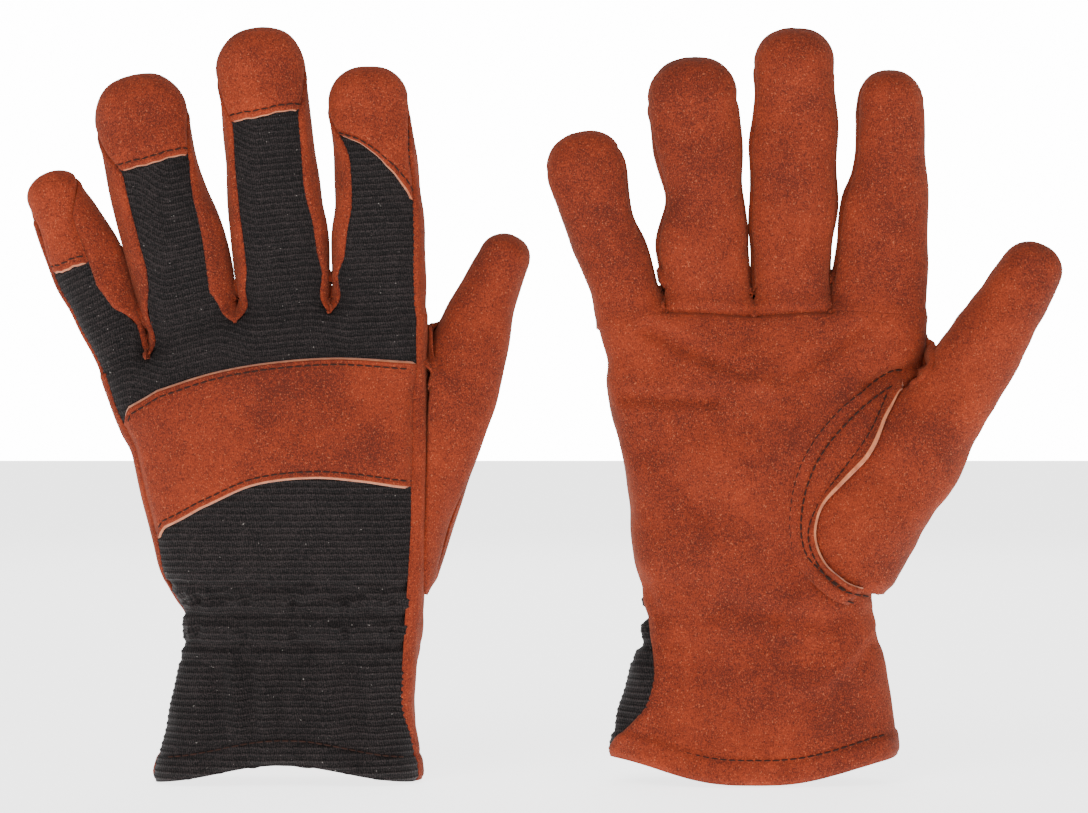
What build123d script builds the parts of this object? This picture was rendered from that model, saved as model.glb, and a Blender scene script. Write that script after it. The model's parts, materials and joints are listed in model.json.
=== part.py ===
from build123d import *
from math import cos, hypot, radians, sin
import os

# A pair of work gloves: suede palms, finger fronts, fingertip caps and knuckle straps, stretch-knit backs and
# a gathered elastic wrist. The gloves stand side by side on their open cuffs, filled to the shape of a hand.
# The left glove shows its knit back to the front, and the right glove shows its suede palm.
# Frame, in millimetres: +X across the pair, -Y to the front, +Z to the fingertips. The origin is on the surface
# that the cuffs stand on, in the middle of the pair.
# Each finger stall is its own body. It turns about the crease line at its base, on its palm side.

# --- driving dimensions ---------------------------------------------------------------------------------------
SKIN = 1.5                # wall of the leather and knit shells
OVERLAY = 1.2             # a second layer of leather laid on the outside
CREASE_GAP = 0.3          # play between a stall and the hand at the crease line
SEAM_DEPTH = 4.0          # the side seam lies this far behind the middle plane, on the back of the hand
FAR = 400.0               # larger than the whole pair
DOME_ANGLES = (0, 30, 55, 75)     # where the rounded tip of a stall has its sections, in degrees
ROOT_RUN = 16.0           # how far a finger tube is drawn below its crease line before it is trimmed

FINGERS = ("little", "ring", "middle", "index")
FINGER_DEPTH = {"little": 7.6, "ring": 9.5, "middle": 9.5, "index": 9.5}      # half thickness
CAP_LENGTH = {"little": 27.0, "ring": 31.0, "middle": 32.0, "index": 30.0}    # fingertip cap, from the tip
WALL_FRONT, WALL_BACK = 0.25, -0.55       # the side wall strips, as shares of the half thickness
THUMB_DEPTH = 9.0
THUMB_FORWARD = 7.0       # the thumb stands this far in front of the palm's middle plane
THUMB_WIDTHS = (14.0, 13.0, 10.2)

STRAP_HEIGHT = 41.0
ELASTIC_HEIGHT = 9.0
ELASTIC_THICK = 1.0
STITCH_LENGTH, STITCH_RADIUS, STITCH_PITCH = 2.4, 0.35, 3.4
STITCH_CLEAR = 0.1        # the thread lies just proud of the leather
SEAM_INSET = 3.0          # a stitch row runs this far inside the edge that it holds
HEM_HEIGHT = 8.0

# Heights and half thicknesses of the hand's cross-sections, from the cuff's edge to above the knuckles.
HAND_DEPTHS = (20.0, 18.5, 16.0, 16.5, 16.5, 15.5, 11.5, 10.5)

# Each glove: knuckles are the crease line's points from the little finger's outer edge over the three forks to
# the index finger's outer edge; tips are the fingertips; widths are half-widths at base, middle and tip; hand
# holds (height, little-finger side, thumb side); web and heel are the ends of the thumb's crease line.
LEFT = {
    "name": "left", "palm": 1,
    "knuckles": ((-149.0, 140.0), (-132.4, 146.8), (-102.8, 159.3), (-70.9, 162.0), (-39.6, 160.6)),
    "tips": {"little": (-166.6, 203.6), "ring": (-136.0, 238.2), "middle": (-95.4, 253.5), "index": (-62.0, 240.2)},
    "widths": {"little": (8.4, 10.4, 10.0), "ring": (14.3, 14.6, 14.8), "middle": (15.2, 15.2, 14.0),
               "index": (14.8, 14.4, 13.2)},
    "hand": ((0.0, -131.5, -41.0), (27.6, -127.0, -42.0), (54.4, -122.0, -37.6), (78.0, -128.0, -36.0),
             (94.8, -132.4, -37.3), (111.6, -137.0, -38.3), (138.0, -147.5, -39.3), (176.0, -152.0, -39.3)),
    "thumb_root": (-50.6, 56.0), "thumb_tip": (-13.1, 185.1), "web": (-39.3, 145.5), "heel": (-11.5, 136.5),
    "strap": ((-134.0, 104.0), (-41.0, 120.5)), "elastic": 52.0,
}
RIGHT = {
    "name": "right", "palm": -1,
    "knuckles": ((17.6, 156.2), (40.3, 162.0), (70.2, 160.9), (95.8, 162.0), (128.4, 160.6)),
    "tips": {"little": (15.5, 218.7), "ring": (48.6, 244.6), "middle": (84.3, 253.5), "index": (114.6, 240.2)},
    "widths": {"little": (11.0, 12.4, 13.0), "ring": (14.2, 14.0, 14.0), "middle": (12.2, 13.7, 13.0),
               "index": (15.6, 14.6, 11.4)},
    "hand": ((0.0, 20.0, 118.5), (27.6, 25.0, 117.0), (54.4, 32.0, 109.5), (78.0, 29.6, 117.0),
             (94.8, 27.6, 121.0), (111.6, 25.0, 124.5), (138.0, 19.3, 127.7), (176.0, 15.0, 128.0)),
    "thumb_root": (100.0, 56.0), "thumb_tip": (167.6, 181.0), "web": (128.0, 145.0), "heel": (153.0, 132.0),
    "strap": ((22.0, 119.0), (124.0, 124.0)), "elastic": 52.0,
}


# --- helpers --------------------------------------------------------------------------------------------------
def unit(start, end):
    """Unit vector between two (x, z) points."""
    dx, dz = end[0] - start[0], end[1] - start[1]
    size = hypot(dx, dz)
    return dx / size, dz / size


def middle_of(a, b):
    return (a[0] + b[0]) / 2, (a[1] + b[1]) / 2


def between(shares, values, share):
    """Straight-line interpolation in a short table."""
    for (s0, v0), (s1, v1) in zip(zip(shares, values), zip(shares[1:], values[1:])):
        if share <= s1:
            return v0 + (v1 - v0) * (share - s0) / (s1 - s0)
    return values[-1]


def slab(low, high):
    """Everything between two values of Y, whichever way round they are given."""
    return Pos(0, (low + high) / 2, 0) * Box(2 * FAR, abs(high - low), 2 * FAR)


def beyond(start, end, offset=0.0):
    """Everything above the line through two (x, z) points, moved up by offset."""
    ex, ez = unit(start, end)
    mx, mz = middle_of(start, end)
    frame = Plane(origin=(mx - ez * offset, 0, mz + ex * offset), x_dir=(ex, 0, ez), z_dir=(-ez, 0, ex))
    return frame * Box(2 * FAR, 2 * FAR, 2 * FAR, align=(Align.CENTER, Align.CENTER, Align.MIN))


def prism(points):
    """A plan shape of (x, z) points, drawn out along Y through the whole glove."""
    corners = [(x, -FAR / 4, z) for x, z in points]
    return extrude(make_face(Polyline(*corners, close=True)), FAR / 2, dir=(0, 1, 0))


def largest(shape):
    """The main solid of a cut, without crumbs."""
    return max(shape.solids(), key=lambda s: s.volume)


def big_enough(shape, volume=20.0):
    """All solids of a cut that are more than crumbs, as one group."""
    return Compound(children=[s for s in shape.solids() if s.volume > volume])


# --- tubes ----------------------------------------------------------------------------------------------------
def stall_tube(root, tip, widths, half_depth, y_middle, inset):
    """A tapered stadium tube with a rounded tip, from root to tip, drawn in by inset on every side."""
    tx, tz = unit(root, tip)
    length = hypot(tip[0] - root[0], tip[1] - root[1])
    radius = widths[2]
    stations = [(0.0, 1.0), (0.5 * (length - radius), 1.0)]
    stations += [(length - radius + (radius - inset) * sin(radians(a)), cos(radians(a))) for a in DOME_ANGLES]
    sections = []
    for along, shrink in stations:
        width = between((0.0, 0.5, 1.0), widths, along / (length - radius))
        plane = Plane(origin=(root[0] + tx * along, y_middle, root[1] + tz * along),
                      x_dir=(tz, 0, -tx), z_dir=(tx, 0, tz))
        sections.append(plane * SlotOverall(2 * (width - inset) * shrink, 2 * (half_depth - inset) * shrink))
    return loft(sections, ruled=True)


def hand_tube(glove, inset):
    """The hand from cuff to knuckles, as a stadium tube drawn in by inset, or grown if inset is negative."""
    sections = []
    for (height, little_side, thumb_side), depth in zip(glove["hand"], HAND_DEPTHS):
        plane = Plane(origin=((little_side + thumb_side) / 2, 0, height), x_dir=(1, 0, 0), z_dir=(0, 0, 1))
        wide = abs(thumb_side - little_side)
        sections.append(plane * SlotOverall(wide - 2 * inset, 2 * (depth - inset)))
    return loft(sections, ruled=True)


def hand_depth(glove, height):
    """Half thickness of the hand at a height."""
    return between([row[0] for row in glove["hand"]], HAND_DEPTHS, height)


def above_knuckles(glove):
    """Everything above the whole crease line of the four fingers."""
    points = list(glove["knuckles"])
    first, last = points[0], points[-1]
    ex, ez = unit(points[1], first)
    outer = (first[0] + 60 * ex, first[1] + 60 * ez)
    return prism([outer, *points, (last[0] + 60, last[1]), (last[0] + 60, FAR), (outer[0], FAR)])


def nearer_tip(tip, direction, distance):
    """Everything that is nearer the tip than distance, along the stall's direction."""
    tx, tz = direction
    x, z = tip[0] - distance * tx, tip[1] - distance * tz
    return beyond((x - tz, z + tx), (x + tz, z - tx))


def half_beside(root, tip, side):
    """Everything on one side of a stall's middle line: side is 1 towards +X, -1 towards -X."""
    return beyond(root, tip) if side < 0 else beyond(tip, root)


# --- the five stalls ------------------------------------------------------------------------------------------
def finger_parts(glove, finger):
    """Front, back, cap and side walls of one finger stall."""
    k = FINGERS.index(finger)
    start, end = glove["knuckles"][k], glove["knuckles"][k + 1]
    base, tip, palm = middle_of(start, end), glove["tips"][finger], glove["palm"]
    tx, tz = unit(base, tip)
    root = (base[0] - ROOT_RUN * tx, base[1] - ROOT_RUN * tz)
    widths, depth = glove["widths"][finger], FINGER_DEPTH[finger]
    shell = stall_tube(root, tip, widths, depth, 0, 0) - stall_tube(root, tip, widths, depth, 0, SKIN)
    shell = largest(shell & beyond(start, end, CREASE_GAP))

    front_plane, back_plane = palm * WALL_FRONT * depth, palm * WALL_BACK * depth
    side_slab = slab(back_plane, front_plane) - nearer_tip(tip, (tx, tz), widths[2])
    side = {"little": -1, "index": 1}.get(finger)
    if side:        # the palm's leather wraps round the hand's outer side, so only the inner wall is a strip
        side_slab &= half_beside(root, tip, -side)
    walls = shell & side_slab
    dorsal = shell & slab(back_plane, -palm * FAR / 4)
    cap_zone = nearer_tip(tip, (tx, tz), CAP_LENGTH[finger])
    return {
        f"{finger}_front": largest((shell & slab(back_plane, palm * FAR / 4)) - side_slab),
        f"{finger}_back": largest(dorsal - cap_zone),
        f"{finger}_cap": largest(dorsal & cap_zone),
        f"{finger}_walls": big_enough(walls),
    }


def thumb_tubes(glove):
    args = (glove["thumb_root"], glove["thumb_tip"], THUMB_WIDTHS, THUMB_DEPTH, glove["palm"] * THUMB_FORWARD)
    return stall_tube(*args, 0), stall_tube(*args, SKIN)


def thumb_parts(glove):
    """Front and back of the thumb stall beyond its crease line, and the gusset that joins it to the palm."""
    outer, inner = thumb_tubes(glove)
    palm = glove["palm"]
    shell = outer - inner
    middle = palm * THUMB_FORWARD
    free = shell & beyond(glove["web"], glove["heel"], CREASE_GAP)
    gusset = (shell - beyond(glove["web"], glove["heel"])) - hand_tube(glove, 0)
    return {
        "thumb_front": largest(free & slab(middle, palm * FAR / 4)),
        "thumb_back": largest(free & slab(middle, -palm * FAR / 4)),
        "thumb_gusset": largest(gusset),
    }


# --- the hand -------------------------------------------------------------------------------------------------
def hand_parts(glove):
    """Palm panel, back panel, knuckle strap, thumb patch and wrist elastic."""
    palm = glove["palm"]
    outer, inner = hand_tube(glove, 0), hand_tube(glove, SKIN)
    thumb_outer, thumb_inner = thumb_tubes(glove)
    shell = outer - inner - above_knuckles(glove)
    seam = -palm * SEAM_DEPTH
    palm_half, back_half = slab(seam, palm * FAR / 4), slab(seam, -palm * FAR / 4)

    skin = hand_tube(glove, -OVERLAY) - outer
    (x0, z0), (x1, z1) = glove["strap"]
    ex, ez = unit((x0, z0), (x1, z1))
    cx, cz = middle_of((x0, z0), (x1, z1))
    band = Plane(origin=(cx, 0, cz), x_dir=(ex, 0, ez), z_dir=(-ez, 0, ex)) * Box(FAR, FAR, STRAP_HEIGHT)

    lining = inner - hand_tube(glove, SKIN + ELASTIC_THICK)
    ring = Pos(0, 0, glove["elastic"]) * Box(2 * FAR, FAR, ELASTIC_HEIGHT)
    return {
        "palm_panel": largest((shell & palm_half) - thumb_inner),
        "back_panel": largest(shell & back_half),
        "knuckle_strap": largest(skin & band & back_half),
        "thumb_patch": largest((skin & prism(patch_outline(glove)) & slab(0, palm * FAR / 4)) - thumb_outer),
        "wrist_elastic": largest(lining & ring & back_half),
    }


def patch_outline(glove):
    """Plan of the crescent of leather that backs the thumb seam, from the web round to the heel of the hand."""
    web = glove["web"]
    bow = ((-4, -6), (-17, -15), (-29, -33), (-36, -52), (-34, -66), (-24, -76), (-12, -80))
    inner = ((-12, -74), (-21, -70), (-27, -62), (-28, -52), (-22, -36), (-12, -22), (-5, -13))
    return [(web[0] + dx, web[1] + dz) for dx, dz in (*bow, *inner)]


# --- stitching ------------------------------------------------------------------------------------------------
def stitch_row(glove, start, end, side, lift):
    """A straight row of stitches on the flat of the hand, between two (x, z) points."""
    ex, ez = unit(start, end)
    count = int(hypot(end[0] - start[0], end[1] - start[1]) // STITCH_PITCH)
    row = []
    for i in range(count):
        along = (i + 0.5) * STITCH_PITCH
        x, z = start[0] + ex * along, start[1] + ez * along
        y = side * (hand_depth(glove, z) + lift + STITCH_RADIUS + STITCH_CLEAR)
        frame = Plane(origin=(x, y, z), x_dir=(0, 1, 0), z_dir=(ex, 0, ez))
        row.append(frame * Cylinder(STITCH_RADIUS, STITCH_LENGTH))
    return row


def stitching(glove):
    """Both rows of the knuckle strap and the hem's row on each side of the cuff."""
    palm = glove["palm"]
    (x0, z0), (x1, z1) = glove["strap"]
    ends = 17.0
    reach = STRAP_HEIGHT / 2 - SEAM_INSET
    strap = []
    for offset in (-reach, reach):
        strap += stitch_row(glove, (x0 + ends, z0 + 3 + offset), (x1 - ends, z1 - 3 + offset), -palm, OVERLAY)
    _, little_side, thumb_side = glove["hand"][0]
    hem_ends = HAND_DEPTHS[0] + 2
    hem = []
    for side in (-1, 1):
        hem += stitch_row(glove, (little_side + hem_ends, HEM_HEIGHT), (thumb_side - hem_ends, HEM_HEIGHT), side, 0)
    return {"strap_stitching": Compound(children=strap), "hem_stitching": Compound(children=hem)}


def glove_parts(glove):
    parts = {**hand_parts(glove), **thumb_parts(glove), **stitching(glove)}
    for finger in FINGERS:
        parts.update(finger_parts(glove, finger))
    return parts


os.makedirs("parts", exist_ok=True)
for glove in (LEFT, RIGHT):
    for node, shape in glove_parts(glove).items():
        export_step(shape, f"parts/{glove['name']}_{node}.step")
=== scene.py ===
import json
import math

import bmesh
import bpy
import numpy as np
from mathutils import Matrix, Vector


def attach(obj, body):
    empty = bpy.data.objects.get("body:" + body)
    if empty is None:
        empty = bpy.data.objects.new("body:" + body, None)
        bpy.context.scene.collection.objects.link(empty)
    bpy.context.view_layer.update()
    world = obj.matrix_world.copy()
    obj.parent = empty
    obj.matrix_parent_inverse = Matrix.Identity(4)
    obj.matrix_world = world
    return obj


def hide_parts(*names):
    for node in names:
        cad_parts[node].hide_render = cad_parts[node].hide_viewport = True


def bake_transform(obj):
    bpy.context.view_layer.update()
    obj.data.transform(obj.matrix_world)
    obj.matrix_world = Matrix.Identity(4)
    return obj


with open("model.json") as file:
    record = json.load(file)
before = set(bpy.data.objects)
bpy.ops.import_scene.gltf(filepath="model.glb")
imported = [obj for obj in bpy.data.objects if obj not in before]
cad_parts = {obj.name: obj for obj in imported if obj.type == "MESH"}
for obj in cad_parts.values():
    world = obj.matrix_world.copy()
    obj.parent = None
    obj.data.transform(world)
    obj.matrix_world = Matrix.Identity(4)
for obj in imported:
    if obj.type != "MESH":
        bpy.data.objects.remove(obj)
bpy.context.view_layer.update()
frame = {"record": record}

# A pair of work gloves. Every piece of leather and knit is a sheet that lies on the skin of its
# glove. The skin is where a field of five tubes and a flat hand, melted softly together, is zero. A
# piece is a grid of rays: each ray starts inside the glove, and its grid point is where it meets the
# skin, lifted along the normal. Shapes are worked out in millimetres and become metres when their
# mesh is made. +X runs to the thumb's side of both gloves, +Z to the fingertips, and -Y to the front.
# Around a section, angle 0 is the middle of the back of the hand and pi is the middle of the palm.

MM = 0.001
PI = math.pi

# --- sizes ----------------------------------------------------------------------------------------
LEATHER = 1.2             # thickness of the suede
KNIT = 0.9                # thickness of the knit
RIB = 2.2                 # pitch of the knit's ribs
SECTION = 2.3             # how square a section is: 2 is an ellipse
STITCH = (2.5, 0.30)      # length and radius of a stitch
STITCH_PITCH = 2.9
EDGE_ROW = 2.4            # how far a stitch row runs from a raw edge
HEM_ROW = 8.3             # the hem's stitch row, above the lower edge
SIDE_ARC = 0.62           # skin's length near the side seams, per radian and half width
STRAP_HIGH = 40.0         # the strap's height, as the spacing of its rows takes it

# Seams of the hand, in quarter turns from the middle of the back: under 1 is on the back, over 1 on the palm.
LITTLE_SEAM = ((0, 1.02), (12, 1.06), (24, 1.22), (38, 1.24), (52, 1.1), (64, 0.98), (76, 0.90), (170, 0.89))
INDEX_SEAM = ((0, 0.96), (10, 0.94), (22, 0.87), (40, 0.83), (60, 0.82), (90, 0.84), (170, 0.84))

# The knuckle strap's edges: share of the way from the little finger's side to the thumb's side, and height.
STRAP_TOP = ((0, 121), (0.05, 126), (0.17, 131.5), (0.38, 137.6), (0.57, 141), (0.75, 142.3), (1, 141))
STRAP_BOTTOM = ((0, 81), (0.05, 85.5), (0.2, 92), (0.41, 99.6), (0.63, 102), (0.8, 101), (1, 98.5))

# Each finger: where the knit back's two edges lie, as shares of the half width, along the stall,
# and how far the fingertip cap's edge lies short of the tip's centre, at four places across.
KNIT_EDGES = {
    "little": ((0, -0.85, 0.80), (0.09, -0.88, 0.78), (0.26, -0.92, 0.30), (0.43, -0.92, 0.06),
               (0.6, -0.90, 0.09),
               (0.78, -0.88, 0.18), (1, -0.85, 0.40)),
    "ring": ((0, -0.80, 0.70), (0.12, -0.70, 0.50), (0.3, -0.58, 0.54), (0.57, -0.58, 0.64),
             (0.75, -0.55, 0.83),
             (1, -0.72, 0.80)),
    "middle": ((0, -0.80, 0.80), (0.15, -0.68, 0.76), (0.5, -0.70, 0.66), (0.8, -0.70, 0.72),
               (1, -0.80, 0.84)),
    "index": ((0, -0.86, 0.74), (0.2, -0.68, 0.74), (0.45, -0.56, 0.77), (0.7, -0.56, 0.80),
              (1, -0.72, 0.84)),
}
# Where the side seams of the cap run out to the finger's silhouette: from and to, past the tip's centre.
RUN_OUT = {"little": (-8, 6), "ring": (-17, 3), "middle": (-17, 3), "index": (-17, 4)}
CAP_SHORT = {"little": (23, 23.5, 24, 24.5), "ring": (16, 15.6, 15.4, 15.2),
             "middle": (16.4, 15.6, 14.8, 14.2),
             "index": (10, 15, 24, 33)}
FINGERS = ("little", "ring", "middle", "index")

# Each glove: rows of (x, z) on the left and the right outline. Stalls go from root to tip, the hand upwards.
LEFT = {
    "name": "left", "palm": 1,
    "stalls": {
        "little": ((-149.2, 139.9, -132.4, 146.7), (-158.2, 156.5, -137.4, 164.8),
                   (-165.3, 169.8, -141.9, 180.0),
                   (-172.7, 192.4, -154.6, 198.7)),
        "ring": ((-132.4, 146.7, -102.8, 159.4), (-139.6, 172.0, -105.6, 177.0),
                 (-142.8, 184.0, -109.4, 190.1),
                 (-146.6, 200.0, -115.4, 205.0), (-150.6, 219.5, -119.6, 224.6)),
        "middle": ((-102.8, 159.4, -71.4, 162.1), (-105.2, 183.0, -72.3, 184.6),
                   (-106.4, 195.0, -74.9, 196.0),
                   (-108.2, 215.5, -77.6, 218.6), (-110.2, 236.7, -80.6, 239.4)),
        "index": ((-71.4, 162.1, -39.6, 160.4), (-71.7, 183.5, -40.2, 184.0), (-70.4, 195.0, -40.9, 196.0),
                  (-70.8, 210.0, -42.6, 211.0), (-72.6, 226.3, -45.7, 227.6)),
        "thumb": ((-65.2, 61.0, -39.0, 61.0), (-57.8, 94.6, -27.6, 95.3), (-48.4, 129.9, -16.8, 124.2),
                  (-36.3, 153.4, -11.8, 146.7), (-28.9, 165.8, -9.7, 160.1), (-21.8, 177.9, -5.0, 173.2)),
    },
    "hand": ((0, -131.7, -41.7), (22.7, -127.0, -43.7), (33.1, -124.0, -43.3), (46.9, -121.6, -42.0),
             (58.3, -122.6, -41.3), (70.7, -128.4, -40.3), (90.2, -133.1, -39.6), (112.1, -138.1, -39.3),
             (128.2, -145.2, -39.3), (148.3, -150.9, -39.3)),
    "web": (-39.4, 147.6, 0.24, 0.97), "hem": (7.2, -6.5, 2.4),
}
RIGHT = {
    "name": "right", "palm": -1,
    "stalls": {
        "little": ((17.5, 156.1, 40.3, 162.1), (13.4, 171.2, 35.6, 177.9), (7.4, 185.3, 29.6, 192.4),
                   (1.3, 204.1, 27.9, 206.1)),
        "ring": ((40.3, 162.1, 70.2, 160.8), (37.6, 180.3, 68.5, 180.3), (40.3, 196.7, 67.2, 197.4),
                 (36.6, 212.9, 66.5, 213.9), (35.3, 227.6, 65.2, 228.6)),
        "middle": ((70.2, 160.8, 95.8, 162.1), (68.9, 190.3, 98.1, 190.3), (69.2, 216.2, 98.4, 216.2),
                   (71.2, 239.7, 97.4, 240.1)),
        "index": ((95.8, 162.1, 128.4, 160.4), (97.8, 181.9, 129.0, 180.3), (101.1, 197.1, 129.0, 196.1),
                  (104.8, 213.9, 128.4, 212.9), (105.2, 228.3, 126.7, 227.6)),
        "thumb": ((82.7, 61.0, 110.2, 57.0), (86.0, 87.9, 123.6, 81.1), (108.9, 118.1, 140.4, 107.4),
                  (127.0, 141.6, 151.5, 127.8), (140.8, 159.1, 162.3, 147.0), (153.2, 175.9, 171.4, 165.8)),
    },
    "hand": ((0, 19.8, 119.6), (23.4, 23.9, 117.3), (38.1, 28.2, 114.9), (51.2, 33.3, 111.2),
             (63.7, 33.3, 109.5),
             (76.4, 30.9, 111.6), (102.0, 27.9, 117.3), (116.1, 24.9, 120.6), (131.2, 21.2, 124.3),
             (142.3, 21.8, 127.0), (158.4, 18.1, 128.7)),
    "web": (127.0, 141.6, 0.37, 0.93), "hem": (0.7, 8.6, 3.0),
}
HAND_DEPTH = ((0, 18.5), (25, 17.0), (50, 15.0), (75, 16.0), (110, 16.0), (135, 13.8), (165, 10.5))
FINGER_DEPTH = {"little": (8.6, 8.6, 8.2, 7.6), "ring": (10.4, 10.6, 10.2, 9.6),
                "middle": (10.4, 10.6, 10.2, 9.6), "index": (10.2, 10.4, 9.8, 9.0),
                "thumb": (14.0, 12.0, 10.5, 9.2)}
THUMB_FORWARD = 7.0

# The curves of the thumb's seam on the right glove's palm, from the web down to the heel of the hand.
WELT = ((119.0, 132.0), (117.0, 127.6), (114.6, 122.5), (108.5, 110.4), (99.1, 100.3), (92.4, 92.6),
        (90.4, 83.2),
        (93.1, 74.4), (98.8, 68.9), (102.0, 67.2), (105.4, 66.2))
PATCH_EDGE = ((119.5, 138.4), (114.9, 137.2), (106.6, 132.6), (96.9, 125.3), (87.3, 113.6), (82.1, 101.9),
              (80.0, 88.5),
              (81.4, 77.2), (86.9, 69.0), (95.0, 62.5), (101.0, 60.2))
OUTER_ROW = ((120.0, 138.2), (114.9, 136.9), (107.2, 131.9), (97.8, 124.5), (88.4, 113.1), (83.3, 101.6),
             (81.3, 88.5),
             (82.7, 77.8), (87.7, 70.1), (95.6, 63.8), (101.5, 61.4))
INNER_ROW = ((116.0, 133.0), (109.5, 128.9), (101.1, 121.5), (92.1, 110.7), (87.0, 99.6), (85.0, 87.9),
             (86.4, 78.5),
             (90.7, 72.4), (99.1, 65.5))
THIRD_ROW = ((113.9, 130.2), (108.9, 118.1), (98.8, 104.7), (91.1, 93.9), (87.7, 83.2), (91.6, 72.0),
             (98.6, 65.4),
             (106.0, 63.6))


# --- numbers --------------------------------------------------------------------------------------
def spline(rows, at):
    """A smooth curve through rows of numbers, at places
    counted in rows: the mean of the two parabolas nearby."""
    rows = np.asarray(rows, float)
    if rows.ndim == 1:
        return spline(rows[:, None], at)[..., 0]
    at = np.clip(np.asarray(at, float), 0, len(rows) - 1)
    i = np.minimum(at.astype(int), len(rows) - 2)
    f = (at - i)[..., None]
    a, b = rows[np.maximum(i - 1, 0)], rows[i]
    c, d = rows[i + 1], rows[np.minimum(i + 2, len(rows) - 1)]
    return 0.5 * (2 * b + (c - a) * f + (2 * a - 5 * b + 4 * c - d) * f**2 + (3 * (b - c) + d - a) * f**3)


def table(pairs, at):
    """Looks a smooth curve up in pairs of (place, value, ...): a spline through them, read at each place."""
    pairs = np.asarray(pairs, float)
    rows = np.interp(at, pairs[:, 0], np.arange(len(pairs)))
    return spline(pairs[:, 1], rows)


def ease(t):
    """0 below 0, 1 above 1, and the smooth step 3t^2 - 2t^3 between."""
    t = np.clip(t, 0, 1)
    return t * t * (3 - 2 * t)


def unit(v):
    """Vectors of length one."""
    return v / np.maximum(np.linalg.norm(v, axis=-1, keepdims=True), 1e-9)


def melt(a, b, soft):
    """The smaller of two fields, rounded off over a width of soft where they are nearly equal."""
    h = np.clip(0.5 + 0.5 * (b - a) / soft, 0, 1)
    return b + (a - b) * h - soft * h * (1 - h)


def fine_ends(length, step, near=0.35, count=4):
    """Shares from 0 to 1 along a length, step apart, with count closer places at each end."""
    ends = np.arange(count) * near
    middle = np.linspace(count * near, length - count * near, max(int((length - 2 * count * near) / step), 2))
    return np.concatenate([ends, middle, length - ends[::-1]]) / length


def waves(p, seed, lengths, count=5):
    """A gentle undulation: the mean of sines in random directions, with wavelengths between two values."""
    rng = np.random.default_rng(seed)
    total = np.zeros(p.shape[:-1])
    for _ in range(count):
        way = unit(rng.normal(size=3)) * 2 * PI / rng.uniform(*lengths)
        total += np.sin(p @ way + rng.uniform(0, 2 * PI))
    return total / math.sqrt(count)


# --- the skin of a glove --------------------------------------------------------------------------
class Stall:
    """A finger or thumb: a squarish tube round a nearly straight line, closed by a dome."""

    def __init__(self, rows, depths, palm, curl, forward=0.0, tail=16.0):
        dense = spline(rows, np.linspace(0, len(rows) - 1, 97))
        left, right = dense[:, :2], dense[:, 2:]
        centre = (left + right) / 2
        self.root = centre[0]
        chord = centre[-1] - self.root
        self.length = float(np.hypot(*chord))
        self.axis = chord / self.length
        self.side = np.array([self.axis[1], -self.axis[0]])
        self.along = (centre - self.root) @ self.axis
        self.drift = (centre - self.root) @ self.side
        self.half = np.hypot(*(right - left).T) / 2
        self.deep = spline(depths, np.linspace(0, len(depths) - 1, 97))
        base = right[0] - left[0]
        self.skew = float(base @ self.axis) / float(base @ self.side)
        self.palm, self.curl, self.forward, self.tail = palm, curl, forward, tail

    def at(self, s):
        """Drift, half width, half depth and the middle's Y, a distance s along the stall."""
        share = np.clip(s / self.length, 0, 1)
        middle = self.palm * (self.forward + self.curl * share**2)
        return (np.interp(s, self.along, self.drift), np.interp(s, self.along, self.half),
                np.interp(s, self.along, self.deep), middle)

    def field(self, p):
        """How far out p is, in mm: a power sum of the shares
        across, through and past either end, less one."""
        q = p[..., ::2] - self.root
        s = q @ self.axis
        drift, half, deep, middle = self.at(s)
        across = np.abs(q @ self.side - drift) / half
        through = np.abs(p[..., 1] - middle) / deep
        past = np.maximum(s - self.length, 0) / half + np.maximum(-s - self.tail, 0) / self.tail
        return ((across**SECTION + through**SECTION + past**SECTION) ** (1 / SECTION) - 1) * deep

    def rays(self, s, turn):
        """Rays square to the stall at distance s and angle turn; past the end they tip over to form the dome.
        Near the root the rows slant, so that they run along the crease line."""
        s, turn = np.broadcast_arrays(np.asarray(s, float), np.asarray(turn, float))
        lean = self.skew * np.interp(0, self.along, self.half) * np.sin(turn) * (1 - ease(s / 18))
        s = s + lean
        inside = np.minimum(s, self.length)
        drift, half, deep, middle = self.at(inside)
        tip = np.clip((s - self.length) / self.half[-1], 0, PI / 2)
        origin = np.empty(s.shape + (3,))
        origin[..., ::2] = self.root + inside[..., None] * self.axis + drift[..., None] * self.side
        origin[..., 1] = middle
        way = np.empty_like(origin)
        sideways = (np.cos(tip) * half * np.sin(turn))[..., None] * self.side
        way[..., ::2] = sideways + (np.sin(tip) * self.half[-1])[..., None] * self.axis
        way[..., 1] = -self.palm * np.cos(tip) * deep * np.cos(turn)
        return origin, unit(way), np.linalg.norm(way, axis=-1)


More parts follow.
